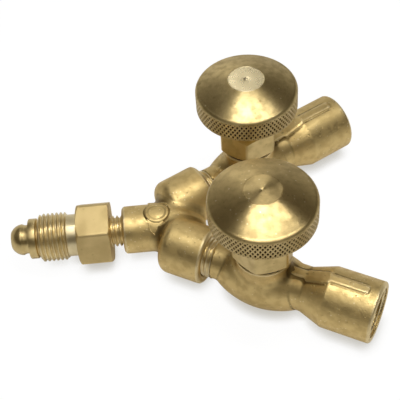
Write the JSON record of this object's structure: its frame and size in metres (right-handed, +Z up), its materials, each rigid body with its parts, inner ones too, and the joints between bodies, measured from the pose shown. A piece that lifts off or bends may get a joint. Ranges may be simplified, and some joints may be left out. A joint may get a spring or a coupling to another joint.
{
  "type": "y connector with valves",
  "caption": "Brass Y connector for gas hose: a male threaded adaptor with a hexagon, a forged Y body, and a needle valve with a knurled round knob and a female outlet in each branch.",
  "frame": {"origin": "on the inlet axis, at the middle of the inlet's male thread", "axes": "+X along the flow from the nose to the branches, +Z up the valve stems towards the knobs, +Y to the left valve"},
  "size_m": [0.1177, 0.0994, 0.0517],
  "materials": {
    "forged_brass": "satin, shot-blasted forging skin",
    "machined_brass": "bright turned",
    "knob_brass": "bright turned, knurled rim",
    "gasket_fibre": "matte",
    "washer_plastic": "matte",
    "seal_rubber": "matte",
    "seat_nylon": "matte"
  },
  "bodies": {
    "body": {"inlet_adaptor": "machined_brass", "y_body": "forged_brass", "left_valve_body": "forged_brass", "left_bonnet_gasket": "gasket_fibre", "left_bonnet": "machined_brass", "right_valve_body": "forged_brass", "right_bonnet_gasket": "gasket_fibre", "right_bonnet": "machined_brass"},
    "left_seat": {"left_seat_holder": "machined_brass", "left_seat_disc": "seat_nylon"},
    "left_stem": {"left_stem": "machined_brass", "left_thrust_washer": "washer_plastic", "left_stem_o_ring": "seal_rubber", "left_backup_ring": "washer_plastic", "left_knob": "knob_brass"},
    "right_seat": {"right_seat_holder": "machined_brass", "right_seat_disc": "seat_nylon"},
    "right_stem": {"right_stem": "machined_brass", "right_thrust_washer": "washer_plastic", "right_stem_o_ring": "seal_rubber", "right_backup_ring": "washer_plastic", "right_knob": "knob_brass"}
  },
  "joints": [
    {"name": "left_stem_lift", "type": "slide", "parent": "body", "child": "left_seat", "axis": [0, 0, 1], "range_m": [0, 0.00254]},
    {"name": "left_knob_turn", "type": "hinge", "parent": "left_seat", "child": "left_stem", "pos_m": [0.06681, 0.02317, 0], "axis": [0, 0, 1], "range_deg": [0, 720]},
    {"name": "right_stem_lift", "type": "slide", "parent": "body", "child": "right_seat", "axis": [0, 0, 1], "range_m": [0, 0.00254]},
    {"name": "right_knob_turn", "type": "hinge", "parent": "right_seat", "child": "right_stem", "pos_m": [0.06681, -0.02317, 0], "axis": [0, 0, 1], "range_deg": [0, 720]}
  ],
  "couplings": [
    {"joint": "left_knob_turn", "follows": "left_stem_lift", "rad_per_m": 4947.4},
    {"joint": "right_knob_turn", "follows": "right_stem_lift", "rad_per_m": 4947.4}
  ]
}
